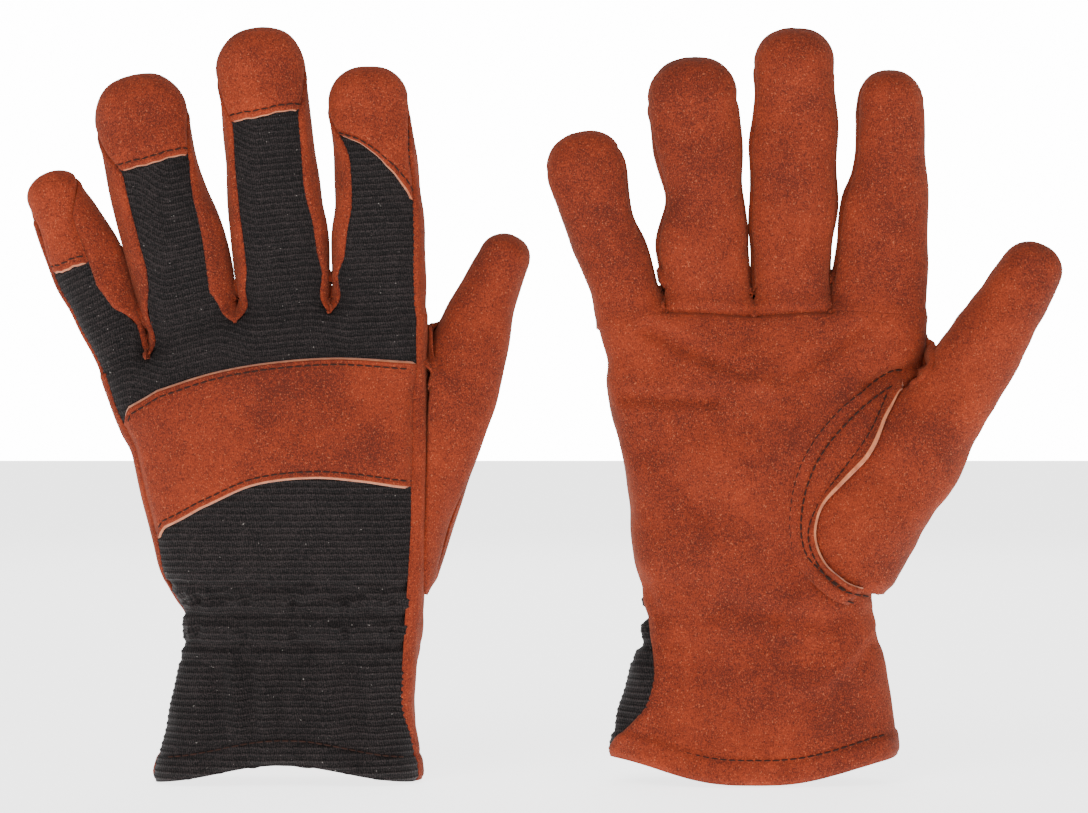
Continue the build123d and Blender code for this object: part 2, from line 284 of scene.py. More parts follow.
class Hand:
    """The flat of the glove from cuff to knuckles: a squarish
    section whose width and depth change with height."""

    def __init__(self, rows, palm, knuckles):
        dense = spline(rows, np.linspace(0, len(rows) - 1, 161))
        self.z, self.low, self.high = dense.T
        self.palm, self.knuckles = palm, knuckles

    def at(self, z):
        """Middle, half width and half depth at a height."""
        low, high = np.interp(z, self.z, self.low), np.interp(z, self.z, self.high)
        return (low + high) / 2, (high - low) / 2, table(HAND_DEPTH, z)

    def crease(self, x):
        """Height of the finger crease line."""
        return np.interp(x, self.knuckles[:, 0], self.knuckles[:, 1])

    def field(self, p):
        """How far out p is, in mm, as for a stall, with the knuckles' crease as the hand's rounded end."""
        x, y, z = p[..., 0], p[..., 1], p[..., 2]
        middle, half, deep = self.at(z)
        over = np.maximum(z - self.crease(x) + 10, 0) / 9
        power = 2.7
        total = (np.abs(x - middle) / half) ** power + (np.abs(y) / deep) ** power + over**power
        return (total ** (1 / power) - 1) * deep

    def rays(self, turn, z):
        """Rays from the hand's flat middle: straight out of the
        back and the palm, and fanned round its two sides."""
        turn, z = np.broadcast_arrays(np.asarray(turn, float), np.asarray(z, float))
        middle, half, deep = self.at(z)
        back = np.cos(turn) >= 0
        quarter = np.arcsin(np.clip(np.sin(turn), -1, 1)) / (PI / 2)
        fan = np.sign(quarter) * np.abs(quarter) ** 3 * PI / 2
        origin = np.stack([middle + (half - deep) * np.sin(turn), np.zeros_like(z), z], axis=-1)
        way = np.stack([np.sin(fan), np.where(back, -self.palm, self.palm) * np.cos(fan), np.zeros_like(z)],
                       axis=-1)
        return origin, way, deep


class Glove:
    """One glove: its field, and rays that are cast on to it."""

    def __init__(self, spec):
        self.name, self.palm = spec["name"], spec["palm"]
        rows = spec["stalls"]
        self.stalls = {f: Stall(rows[f], FINGER_DEPTH[f], self.palm, 2.5) for f in FINGERS}
        self.stalls["thumb"] = Stall(rows["thumb"], FINGER_DEPTH["thumb"], self.palm, 0, THUMB_FORWARD)
        self.knuckles = np.array([rows[f][0][:2] for f in FINGERS] + [rows["index"][0][2:]])
        self.hand = Hand(spec["hand"], self.palm, self.knuckles)
        self.spec = spec

    def field(self, p, own=None):
        """The field at p. own is a stall and a weight: where
        the weight is 1, that stall has no neighbours."""
        fingers = self.stalls["little"].field(p)
        for f in FINGERS[1:]:
            fingers = melt(fingers, self.stalls[f].field(p), 0.3)
        thumb = self.stalls["thumb"]
        alone = own is not None and own[0] is thumb
        if own and not alone:
            fingers = fingers + (own[0].field(p) - fingers) * own[1]
        thumb_field = thumb.field(p)
        whole = melt(melt(fingers, self.hand.field(p), 4.0), thumb_field, 4.0)
        return whole + (thumb_field - whole) * own[1] if alone else whole

    def cast(self, origin, way, guess, low=0.5, high=1.3, own=None):
        """Points where rays meet the skin, by Newton's steps from a guess, and the skin's normals there."""
        reach = np.array(guess, float)
        for _ in range(7):
            value = self.field(origin + way * reach[..., None], own)
            ahead = self.field(origin + way * (reach + 0.2)[..., None], own)
            slope = np.maximum((ahead - value) / 0.2, 0.2)
            reach = np.clip(reach - np.clip(value / slope, -3, 3), guess * low, guess * high)
        p = origin + way * reach[..., None]
        here = self.field(p, own)
        normal = np.stack([self.field(p + step, own) - here for step in np.eye(3) * 0.3], axis=-1)
        return p, unit(normal)

    def plan(self, x, z, side):
        """Rays straight through the flat of the hand: side is 1 for the palm and -1 for the back."""
        x, z = np.broadcast_arrays(np.asarray(x, float), np.asarray(z, float))
        origin = np.stack([x, np.zeros_like(x), z], axis=-1)
        way = np.zeros_like(origin)
        way[..., 1] = side * self.palm
        return origin, way, np.full(x.shape, 13.0)

    def ribs(self, p):
        """Height of a point counted along the knit's courses,
        which turn square to each finger near the knuckles."""
        x, z = p[..., 0], p[..., 2]
        total, weight = np.zeros_like(x), np.zeros_like(x)
        for k, f in enumerate(FINGERS):
            stall = self.stalls[f]
            low, high = self.knuckles[k, 0], self.knuckles[k + 1, 0]
            share = ease((x - low + 8) / 16) if k else x * 0 + 1
            share = share * (ease((high + 8 - x) / 16) if k < 3 else x * 0 + 1)
            q = np.stack([x, z], axis=-1) - stall.root
            total += share * (q @ stall.axis + stall.root[1])
            weight += share
        near = ease((z - 85) / 55)
        return near * total / np.maximum(weight, 1e-6) + (1 - near) * z


GLOVES = {spec["name"]: Glove(spec) for spec in (LEFT, RIGHT)}
JOINTS = {joint["name"]: joint for joint in frame["record"]["behaviour"]["joints"]}


# --- meshes ---------------------------------------------------------------------------------------
def arc(grid, axis):
    """Mean length, in metres, of the lines along one direction of a grid of points."""
    return float(np.linalg.norm(np.diff(grid, axis=axis), axis=-1).sum(axis=axis).mean()) * MM


def patch_area(grid):
    """Area of a grid's faces in square metres: half the cross product of each face's diagonals."""
    one, two = grid[1:, 1:] - grid[:-1, :-1], grid[1:, :-1] - grid[:-1, 1:]
    return float(np.linalg.norm(np.cross(one, two), axis=-1).sum()) / 2 * MM * MM


def mesh_of(name, points, faces, materials, weave=None):
    """A smooth mesh object from points in millimetres; points in the same place are made one."""
    mesh = bpy.data.meshes.new(name)
    mesh.from_pydata((points * MM).tolist(), [], faces.tolist())
    if weave is not None:
        layer = mesh.uv_layers.new(name="weave")
        layer.data.foreach_set("uv", weave[np.asarray(faces).ravel()].astype(np.float32).ravel())
    bm = bmesh.new()
    bm.from_mesh(mesh)
    bmesh.ops.remove_doubles(bm, verts=bm.verts, dist=2e-6)
    bm.to_mesh(mesh)
    bm.free()
    mesh.polygons.foreach_set("use_smooth", np.ones(len(mesh.polygons), bool))
    for material in materials:
        mesh.materials.append(material)
    obj = bpy.data.objects.new(name, mesh)
    bpy.context.scene.collection.objects.link(obj)
    return obj


def sheet(name, grid, normal, finish, wall, weave=None, raw=None):
    """A sheet through a grid of points, facing the way of its normals, and thickened inwards.
    raw picks the rows and columns whose faces show the leather's pale cut edge."""
    rows, columns = grid.shape[:2]
    index = np.arange(rows * columns).reshape(rows, columns)
    faces = np.stack([index[:-1, :-1], index[:-1, 1:], index[1:, 1:], index[1:, :-1]], axis=-1).reshape(-1, 4)
    turn = np.cross(grid[1:, 1:] - grid[:-1, :-1], grid[1:, :-1] - grid[:-1, 1:])
    if (turn * normal[:-1, :-1]).sum() < 0:
        faces = faces[:, ::-1]
    uv = None if weave is None else weave.reshape(-1, 2)
    name += {"back_knit": "_cloth", "wrist_elastic": "_band"}.get(finish, "_leather")
    obj = mesh_of(name, grid.reshape(-1, 3), faces,
                  (MATERIALS[finish], MATERIALS[EDGES.get(finish, finish) if raw is not None else finish]),
                  uv)
    if raw is not None:
        cut = np.zeros((rows - 1, columns - 1), int)
        cut[raw] = 1
        if len(obj.data.polygons) == cut.size:
            obj.data.polygons.foreach_set("material_index", cut.ravel())
    solid = obj.modifiers.new("thickness", "SOLIDIFY")
    solid.thickness, solid.offset = wall * MM, -1
    solid.material_offset_rim = 1
    min(patch_area(grid), arc(grid, 1) * arc(grid, 0))
    return obj


def cut_edge(distance):
    """Height of a cut edge: the leather is bevelled over
    its last millimetre, and its stitch row is pulled in."""
    sewn = 0.35 * np.exp(-(((distance - EDGE_ROW) / 0.6) ** 2))
    return -1.15 * (1 - np.clip(distance / 1.05, 0, 1)) - sewn


def roll(distance, high=0.45, low=-0.5, over=2.2):
    """Height of a turned edge: it dives at the very edge and is puffed just inside it."""
    return low * (1 - ease(distance / 0.9)) + high * np.exp(-(((distance - over) / 1.8) ** 2))


def dip(distance, depth=0.8, wide=1.3):
    """Height of a sewn seam where two pieces meet: a smooth valley at the edge."""
    return -depth * np.exp(-((distance / wide) ** 2))


def stitches(name, runs, normals, body):
    """Stitches along runs of points: capsules, one every STITCH_PITCH, half sunk, each from
    six-sided rings whose radius follows a half circle at the ends. One mesh holds them all."""
    length, radius = STITCH
    ring = np.arange(6) * PI / 3
    share = np.array([-1, -0.8, -0.35, 0.35, 0.8, 1])
    girth = np.array([0.02, 0.75, 1, 1, 0.75, 0.02])
    points, faces = [], []
    for run, normal in zip(runs, normals):
        steps = np.concatenate([[0], np.cumsum(np.linalg.norm(np.diff(run, axis=0), axis=1))])
        at = np.arange(STITCH_PITCH / 2, steps[-1], STITCH_PITCH)
        centre = np.stack([np.interp(at, steps, run[:, i]) for i in range(3)], axis=-1)
        ahead = np.stack([np.interp(at + 0.3, steps, run[:, i]) for i in range(3)], axis=-1)
        out = unit(np.stack([np.interp(at, steps, normal[:, i]) for i in range(3)], axis=-1))
        along = unit(ahead - np.stack([np.interp(at - 0.3, steps, run[:, i]) for i in range(3)], axis=-1))
        across = unit(np.cross(along, out))
        out = np.cross(across, along)
        shape = (centre[:, None, None] + along[:, None, None] * (share * length / 2)[:, None, None]
                 + (across[:, None, None] * np.cos(ring)[:, None]
                    + out[:, None, None] * np.sin(ring)[:, None])
                 * (girth * radius)[:, None, None])
        block = np.arange(36).reshape(6, 6)
        quads = np.stack([block[:-1], np.roll(block, -1, 1)[:-1], np.roll(block, -1, 1)[1:], block[1:]],
                         axis=-1)
        count = sum(len(p) for p in points)
        faces.append((quads.reshape(-1, 4)[None] + np.arange(len(at))[:, None, None] * 36
                      + count).reshape(-1, 4))
        points.append(shape.reshape(-1, 3))
    obj = mesh_of(f"{name}_rows", np.concatenate(points), np.concatenate(faces)[:, ::-1],
                  (MATERIALS["thread"],))
    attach(obj, body)
    return obj


# --- relief ---------------------------------------------------------------------------------------
def near_line(x, z, x1, z1, x2, z2):
    """Distance of points from a straight line between two places, in plan."""
    run = np.array([x2 - x1, z2 - z1])
    t = np.clip(((x - x1) * run[0] + (z - z1) * run[1]) / (run @ run), 0, 1)
    return np.hypot(x - x1 - t * run[0], z - z1 - t * run[1])


def near_curve(x, z, curve):
    """Distance of points from a smooth curve through places in plan."""
    line = spline(curve, np.linspace(0, len(curve) - 1, 3 * len(curve)))
    return np.minimum.reduce([near_line(x, z, *a, *b) for a, b in zip(line[:-1], line[1:])])


def groove(p, curve):
    """Height of the groove that a stitch row pulls into the leather."""
    return -0.55 * np.exp(-((near_curve(p[..., 0], p[..., 2], curve) / 0.75) ** 2))


# Soft creases: which face they are on, both ends, depth and width. A negative depth is a ridge.
CREASES = {
    "left": ((-1, -99, 8, -101, 44, 1.0, 3.0), (-1, -89, 6, -87, 40, 0.8, 2.4),
             (-1, -79, 8, -77, 46, 1.1, 3.2),
             (-1, -112, 8, -109, 36, 0.8, 3.5), (-1, -62, 10, -64, 42, 0.9, 3.4),
             (-1, -128, 60, -104, 63, 0.9, 1.6), (-1, -84, 60, -60, 64, 0.8, 1.6),
             (1, -135, 128, -105, 127, 1.1, 2.6), (1, -128, 149, -98, 135, 1.0, 2.6)),
    "right": ((-1, 34.6, 151.7, 65.9, 136.9, 1.5, 2.8), (-1, 27.2, 129.2, 56.4, 128.2, 1.2, 2.4),
              (-1, 60, 139, 76, 131, -0.8, 3.0), (-1, 104, 152, 84, 138, 0.9, 3.2),
              (-1, 127, 141, 107, 133, 1.6, 2.0), (-1, 36, 112, 52, 90, 0.8, 4.0),
              (-1, 60, 60, 96, 54, 0.8, 4.0),
              (1, 40, 62, 60, 63, 0.9, 1.6), (1, 80, 62, 104, 64, 0.8, 1.6),
              (1, 52, 8, 53, 44, 1.0, 3.0), (1, 70, 6, 72, 42, 0.9, 2.8), (1, 92, 8, 90, 44, 1.0, 3.2)),
}


CREASE_DEPTH = 1.5


def relief(glove, p, amount=0.38):
    """Height of the soft unevenness of a filled glove: slow waves, and its creases as rounded valleys."""
    seed = 3 if glove.name == "left" else 8
    height = amount * waves(p, seed, (17, 44)) + 0.35 * amount * waves(p, seed + 20, (7, 14))
    for face, x1, z1, x2, z2, depth, wide in CREASES[glove.name]:
        facing = ease((p[..., 1] * face + 2) / 6)
        away = near_line(p[..., 0], p[..., 2], x1, z1, x2, z2)
        height = height - facing * depth * CREASE_DEPTH * np.exp(-((away / wide) ** 2))
    return height


def pleats(p):
    """Height of the gathers over the wrist elastic: two rows
    of small puckers and the folds that fall from them."""
    x, z = p[..., 0], p[..., 2]
    pucker = np.sin(x * 0.95 + 2 * np.sin(x * 0.21)) * (0.55 + 0.45 * np.sin(x * 0.37 + 1))
    wander = np.sin(x * 0.3) + 0.5 * np.sin(x * 0.71 + z * 0.2)
    rows = np.exp(-(((z - 61.5 - wander) / 2.4) ** 2)) + 0.9 * np.exp(-(((z - 51.5 + wander) / 2.2) ** 2))
    grooves = sum(depth * np.exp(-(((z - height - 0.6 * wander) / wide) ** 2))
                  for height, depth, wide in ((66.5, 1.1, 1.5), (56.5, 1.5, 2.0), (46.5, 1.2, 1.6),
                                              (41, 0.5, 1.4)))
    hang = ease((46 - z) / 8) * ease((z - 9) / 12)
    folds = np.sin(x * 0.42 + 1.9 * np.sin(x * 0.13) + z * 0.05) * (0.5 + 0.4 * np.sin(x * 0.19 + 2))
    return 1.5 * pucker * rows - grooves + 1.3 * folds * hang


# --- pieces of a finger ---------------------------------------------------------------------------
def edge_turn(stall, f, s, side, forked=True):
    """Angle of the knit's edge on one side, at a distance along the stall.
    Towards the tip it moves round to the side, where the cap meets the front.
    The wall's edge, which is forked, reaches out to the fork at the root."""
    rows = np.array(KNIT_EDGES[f])
    share = np.interp(s / stall.length, rows[:, 0], rows[:, 1 if side < 0 else 2])
    turn = np.arcsin(share)
    if forked and not outer(f, side):
        root = side * (PI * 0.22 if wide_fork(f, side) else PI * 0.36)
        turn = root + (turn - root) * opening(f, side, s)
    low, high = RUN_OUT[f]
    return turn + (side * PI / 2 - turn) * np.clip((s - stall.length - low) / (high - low), 0, 1) ** 1.6


def seam_turn(stall, f, s, side, forked=True):
    """Angle of the side wall's edge on the palm, or the
    knit's edge on an outer side, where there is no wall."""
    if outer(f, side):
        return edge_turn(stall, f, s, side)
    turn = side * (math.radians(106) + (PI * 0.75 - math.radians(106)) * (1 - ease((s + 1) / 9)) * forked)
    low, high = RUN_OUT[f]
    return turn + (side * PI / 2 - turn) * ease((s - stall.length - low) / (high - low))


def wide_fork(f, side):
    """True at the fork between the ring and the middle finger, whose leather makes a round U."""
    return (f, side) in (("ring", 1), ("middle", -1))


def opening(f, side, s):
    """How far a fork's leather has spread to its finger's own width: on a
    quarter circle for the round fork, and slowly for the pointed ones."""
    if wide_fork(f, side):
        return np.sqrt(1 - (1 - np.clip(s / 6, 0, 1)) ** 2)
    return np.clip((s + 1) / 16, 0, 1)


def outer(f, side):
    """True on the sides that have no neighbour, and so no wall."""
    return (f, side) in (("little", -1), ("index", 1))


def on_stall(glove, f, s, turn):
    """Points on a finger and their normals. Near the root the skin is the whole glove's,
    and further out it is the finger's own, so that neighbours that touch don't merge."""
    stall = glove.stalls[f]
    origin, way, guess = stall.rays(s, turn)
    high = np.where(s < 8, np.minimum(1.5, 1.03 / np.maximum(np.abs(np.sin(turn)), 0.1)), 1.12)
    return glove.cast(origin, way, guess, high=high, own=(stall, ease((s - 2) / 5)))


def finger(glove, f):
    """The pieces of one finger: the front, the knit back, the side walls and the cap."""
    stall = glove.stalls[f]
    body, hand = f"{glove.name}_{f}", f"{glove.name}_hand"
    reach = stall.length + stall.half[-1] * PI / 2
    pivot = np.array(JOINTS[f"{glove.name}_{f}_flex"]["pos_m"])
    along = np.array([stall.axis[0], 0, stall.axis[1]])
    start, end = tuple(pivot + along * 0.002), tuple(pivot + along * 0.026)

    # front: from the seam under the crease to the top of the dome
    s = np.concatenate([[-6.0, -5.0], np.arange(-4, stall.length, 1.05),
                        np.linspace(stall.length, reach, 16)])[:, None]
    low, high = seam_turn(stall, f, s, 1, False), 2 * PI + seam_turn(stall, f, s, -1, False)
    across = fine_ends(40, 1.1)[None]
    turn = low + (high - low) * across
    p, n = on_stall(glove, f, s, turn)
    gap = [(np.abs(turn - edge) * stall.half.mean()) * (1 - 0.999 * ease((s - reach + 3) / 3))
           for edge in (low, high)]
    height = relief(glove, p)
    for side, distance in zip((1, -1), gap):
        height += np.where(outer(f, side) & (s < stall.length - 4), roll(distance), dip(distance))
    root = s + 4 + 0 * turn
    sewn = dip(root, 1.5, 0.9) + 0.7 * np.exp(-(((root - 3) / 2.2) ** 2)) if f in ("ring", "middle") else 0
    height += np.where(root < 0, -1.6, sewn)
    front = sheet(f"{body}_front", p + n * height[..., None], n, "finger_suede", LEATHER)
    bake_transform(front)
    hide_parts(f"{body}_front")

    # knit back: from under the hand's knit to under the cap
    rows = np.arange(-2, stall.length - min(CAP_SHORT[f]) + 4, 0.375)[:, None]
    low, high = edge_turn(stall, f, rows, -1, False), edge_turn(stall, f, rows, 1, False)
    tuck = 1.6 / stall.half.mean()
    across = np.linspace(0, 1, 23)[None]
    turn = low - tuck + (high - low + 2 * tuck) * across
    p, n = on_stall(glove, f, rows, turn)
    course, p = ribbed(glove, p, n, KNIT_LIFT + 0.08)
    back = sheet(f"{body}_back", p, n, "back_knit", KNIT, weave=course)
    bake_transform(back)
    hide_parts(f"{body}_back")

    # cap: laid over the knit, from its raw edge to the top of the dome
    u = fine_ends(40, 1.1)[None]
    short = table(np.stack([np.linspace(0, 1, 4), CAP_SHORT[f]], axis=1), u)
    begin = stall.length - short + 0.22 * np.sin(u * 11) + 0.12 * np.sin(u * 31)
    v = np.concatenate([fine_ends(30, 1.0)[:-1], np.linspace(1, 2, 16)])[:, None]
    s = np.where(v <= 1, begin + (stall.length - begin) * v, stall.length + (reach - stall.length) * (v - 1))
    low, high = edge_turn(stall, f, s, -1), edge_turn(stall, f, s, 1)
    turn = low + (high - low) * u
    p, n = on_stall(glove, f, s, turn)
    height = CAP_LIFT * (1 - 0.5 * ease((s - begin - 6) / 8)) + 0.7 * relief(glove, p)
    height += cut_edge(s - begin)
    for edge in (low, high):
        height += dip(np.abs(turn - edge) * stall.half.mean() * (1 - 0.999 * ease((s - reach + 3) / 3)), 1.0)
    cap = sheet(f"{body}_cap", p + n * height[..., None], n, "cap_suede", LEATHER, raw=slice(0, RAW_ROWS))
    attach(cap, body)
    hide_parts(f"{body}_cap")
    row = int(np.argmin(np.abs(v[:, 0] * (stall.length - begin.mean()) - EDGE_ROW)))
    line = slice(3, -3)
    seam = stitches(f"{body}_cap_stitches", [(p + n * (height + 0.05)[..., None])[row, line]], [n[row, line]],
                    body)

    # side walls: from the bottom of the fork up to the tip's shoulder, where they run out
    for side in (-1, 1):
        if outer(f, side):
            continue
        wall(glove, f, side, start, end)
    return seam


def wall(glove, f, side, start, end):
    """The strip of leather between two fingers. Its lowest row is a fan in
    the plane of the fork, over the saddle, which the neighbour's wall shares;
    the rays turn from there into the stall's own within nine millimetres."""
    stall, name = glove.stalls[f], f"{glove.name}_{f}"
    k = FINGERS.index(f) + (side > 0)
    fork = glove.knuckles[k]
    end_at = stall.length + RUN_OUT[f][1]
    s = np.concatenate([9 - 9 * np.cos(np.linspace(0, PI / 2, 17))[:-1], np.arange(9, end_at, 1.05),
                        [end_at]])[:, None]
    v = fine_ends(15, 0.9, count=3)[None]
    dorsal, palmar = edge_turn(stall, f, s, side), seam_turn(stall, f, s, side)
    turn = dorsal + (palmar - dorsal) * v
    origin, way, guess = stall.rays(np.maximum(s, 1.0), turn)
    fan = math.radians(78 if wide_fork(f, side) else 72) * (2 * v - 1) + 0 * s
    fan_way = np.stack([0 * fan, glove.palm * np.sin(fan), np.cos(fan)], axis=-1)
    fan_origin = np.broadcast_to([fork[0], 0, fork[1] - 8], fan_way.shape)
    turned = (opening(f, side, s) if wide_fork(f, side) else ease(s / 9))[..., None]
    origin = fan_origin + (origin - fan_origin) * turned
    way = unit(fan_way + (way - fan_way) * turned)
    guess = 8.5 + (guess - 8.5) * turned[..., 0]
    p, n = glove.cast(origin, way, guess, low=0.4, high=1.7 - 0.6 * ease((s - 4) / 5),
                      own=(stall, ease((s - 3) / 5)))
    width = np.abs(palmar - dorsal) * stall.half.mean()
    fade = ease((end_at - s) / 6)
    height = relief(glove, p) + fade * roll(v * width) + dip((1 - v) * width) + 0.1 * fade
    grid = p + n * height[..., None]
    # neighbours share the fork's row, so its points lie exactly in the fork's plane
    grid[0, :, 0] = fork[0]
    piece = sheet(f"{name}_wall_{'inner' if side > 0 else 'outer'}", grid, n, "finger_suede", LEATHER)
    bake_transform(piece)
    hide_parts(f"{name}_walls")


RAW_ROWS = 2              # rows of a grid, 0.35 mm apart, that show the pale cut edge
KNIT_LIFT = -0.45         # the knit lies lower than the leather, which puffs up beside it
CAP_LIFT = 1.0            # caps and straps lie on top
RIB_HEIGHT = 0.136


def ribbed(glove, p, n, lift, bend=0.0):
    """Puts the knit's courses on a surface: a wave of RIB along the courses, wandering a little.
    Returns each point's weave place (across and along, in millimetres) and the lifted points."""
    along = glove.ribs(p) + 0.1 * waves(p, 40, (9, 25), 4) + bend
    across = p[..., 0] + 0.2 * waves(p, 41, (9, 25), 4)
    wave = np.cos(2 * PI * along / RIB) + 0.6 * np.cos(4 * PI * along / RIB)
    height = lift + relief(glove, p) + RIB_HEIGHT * wave
    return np.stack([across, along], axis=-1), p + n * height[..., None]


# --- pieces of the hand ---------------------------------------------------------------------------
def seams(z):
    """Angles of the palm leather's two edges at a height:
    on the index side, and on the little finger's side."""
    return table(INDEX_SEAM, z) * PI / 2, table(LITTLE_SEAM, z) * PI / 2


def from_edge(glove, curve):
    """A curve given on the right glove, moved so that it keeps its distance from the thumb
    side of this glove, and raised towards the web as far as this glove's web is higher."""
    x, z = np.array(curve, float).T
    right = GLOVES["right"].hand
    raised = z + (glove.spec["web"][1] - RIGHT["web"][1]) * ease((z - 95) / 30)
    return np.stack([x - np.interp(z, right.z, right.high)
                     + np.interp(raised, glove.hand.z, glove.hand.high), raised],
                    axis=-1)


def inside(x, z, outline):
    """Distance from a closed outline, in plan: positive
    inside it, by the crossing rule, and negative outside."""
    ends = np.roll(outline, -1, axis=0)
    within = np.zeros(x.shape, bool)
    nearest = np.full(x.shape, 1e9)
    for (x1, z1), (x2, z2) in zip(outline, ends):
        crosses = (z1 > z) != (z2 > z)
        slope = (x2 - x1) / (z2 - z1) if z2 != z1 else 0.0
        within ^= crosses & (x < x1 + (z - z1) * slope)
        nearest = np.minimum(nearest, near_line(x, z, x1, z1, x2, z2))
    return np.where(within, nearest, -nearest)


def top_of(glove, turn, drop):
    """Height at which each column of rays meets the line a given drop below the finger
    crease, found by repeating the cast at the height that the last one gave."""
    z = np.full(np.shape(turn), 150.0)
    for _ in range(4):
        p, _ = glove.cast(*glove.hand.rays(turn, z), low=0.4, high=1.05)
        z = glove.hand.crease(p[..., 0]) - drop
    return z


def bottom(glove, turn):
    """Height of the hem's bottom edge, which follows a power of the place across the cuff."""
    middle, sides, power = glove.spec["hem"]
    return middle + sides * np.abs(np.sin(turn)) ** power


def palm(glove):
    """The palm leather, from the hem to the finger seam. It is wrapped round both
    sides of the hand, and where the thumb's leather lies over it, it is sunk."""
    column = fine_ends(140, 1.25)[None]

    def turns(z):
        index, little = seams(z)
        return index + (2 * PI - little - index) * column

    top = top_of(glove, turns(150.0), 4.0)
    v = fine_ends(156, 1.25)[:, None]
    low = bottom(glove, turns(0.0))
    z = low + (top - low) * v
    turn = turns(z)
    origin, way, guess = glove.hand.rays(turn, z)
    p, n = glove.cast(origin, way, guess, low=0.4, high=1.06)
    index, little = seams(z)
    width = glove.hand.at(z)[1]
    height = relief(glove, p) + 0.2 * pleats(p) * ease((p[..., 1] * glove.palm + 4) / 5)
    for angle, full in ((turn - index, 0.9), (2 * PI - little - turn, 0.7)):
        distance = angle * width * SIDE_ARC
        height += roll(distance, high=full)
    height += hem(z - low)
    x = p[..., 0]
    gunn = (x > glove.knuckles[1, 0] - 1) & (x < glove.knuckles[3, 0] + 1)
    height += np.where(gunn, dip(top - z, 1.3, 0.9), 0)
    height += groove(p, from_edge(glove, OUTER_ROW)) * (p[..., 1] * glove.palm > 3)
    under = inside(x, p[..., 2], from_edge(glove, THUMB_COVERS)) * ease((p[..., 1] * glove.palm + 1) / 3)
    height -= (1.9 - 1.1 * ease((p[..., 2] - glove.spec["web"][1] + 26) / 12)) * ease(under / 2.2)
    piece = sheet(f"{glove.name}_palm_panel", p + n * height[..., None], n, "palm_suede", LEATHER)
    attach(piece, f"{glove.name}_hand")
    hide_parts(f"{glove.name}_palm_panel")


def hem(z):
    """Height of the turned hem: half a millimetre thicker up to its
    stitch row, which is pulled in, and rounded at the bottom."""
    turned = 1 - ease((z - 7.6) / 1.6)
    sewn = np.exp(-(((z - HEM_ROW) / 0.8) ** 2))
    bottom = np.exp(-((z / 1.2) ** 2))
    return 0.6 * turned - 0.5 * sewn - bottom


def knit_back(glove):
    """The knit over the back of the hand, gathered at the
    wrist, from its hem to just under the knuckles' forks."""
    column = np.linspace(0, 1, 78)[None]
    tuck = 0.05

    def turns(z):
        index, little = seams(z)
        return -little - tuck + (index + little + 2 * tuck) * column

    top = top_of(glove, turns(150.0), 0.5)
    forks = glove.knuckles[1:4]
    low = bottom(glove, turns(0.0))
    z = low + (top - low) * np.linspace(0, 1, 420)[:, None]
    origin, way, guess = glove.hand.rays(turns(z), z)
    p, n = glove.cast(origin, way, guess, low=0.4, high=1.06)
    lift = KNIT_LIFT + pleats(p) + hem(z - low)
    lift -= sum(0.9 * np.exp(-(((p[..., 0] - x) / 4) ** 2 + ((p[..., 2] - h + 1) / 5) ** 2))
                for x, h in forks)
    course, p = ribbed(glove, p, n, lift, 0.35 * pleats(p))
    piece = sheet(f"{glove.name}_back_panel", p, n, "back_knit", KNIT, weave=course)
    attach(piece, f"{glove.name}_hand")
    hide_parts(f"{glove.name}_back_panel")


def strap(glove):
    """The knuckle strap: a band of suede over the knit, with
    raw top and bottom edges and a stitch row inside each."""
    column = fine_ends(95, 1.2)[None]
    v = fine_ends(STRAP_HIGH, 1.0)[:, None]
    low, high = table(STRAP_BOTTOM, column), table(STRAP_TOP, column)
    if glove.name == "right":
        low, high = low + 4, high + 4
    z = low + (high - low) * v
    index, little = seams(z)
    turn = -little + (index + little) * column
    p, n = glove.cast(*glove.hand.rays(turn, z), low=0.4, high=1.06)
    height = CAP_LIFT + 0.9 * relief(glove, p)
    for distance in (v, 1 - v):
        height = height + cut_edge(distance * STRAP_HIGH)
    width = glove.hand.at(z)[1]
    for angle in (turn + little, index - turn):
        height = height - 1.1 * (1 - ease(angle * width * SIDE_ARC / 2.5))
    points = p + n * height[..., None]
    raw = np.r_[0:RAW_ROWS, len(v) - 1 - RAW_ROWS:len(v) - 1]
    piece = sheet(f"{glove.name}_knuckle_strap", points, n, "strap_suede", LEATHER, raw=raw)
    body = f"{glove.name}_hand"
    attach(piece, body)
    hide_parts(f"{glove.name}_knuckle_strap")
    rows = [int(np.argmin(np.abs(share[:, 0] * STRAP_HIGH - EDGE_ROW))) for share in (v, 1 - v)]
    line = slice(5, -5)
    runs = [points[row, line] + n[row, line] * 0.1 for row in rows]
    seam = stitches(f"{glove.name}_strap_stitching", runs, [n[row, line] for row in rows], body)
    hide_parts(f"{glove.name}_strap_stitching")


def hem_rows(glove):
    """The hem's stitch rows, one on the palm's side and one on the back's."""
    runs, normals = [], []
    for side in (1, -1):
        turn = np.linspace(-PI / 2 + 0.25, PI / 2 - 0.25, 120) + (PI if side > 0 else 0)
        p, n = glove.cast(*glove.hand.rays(turn, bottom(glove, turn) + HEM_ROW), low=0.4, high=1.06)
        lift = relief(glove, p) + hem(HEM_ROW) + (0.15 if side > 0 else KNIT_LIFT + 0.3)
        lift = lift + (pleats(p) if side < 0 else 0)
        runs.append(p + n * lift[..., None])
        normals.append(n)
    seam = stitches(f"{glove.name}_hem_stitching", runs, normals, f"{glove.name}_hand")
    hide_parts(f"{glove.name}_hem_stitching")


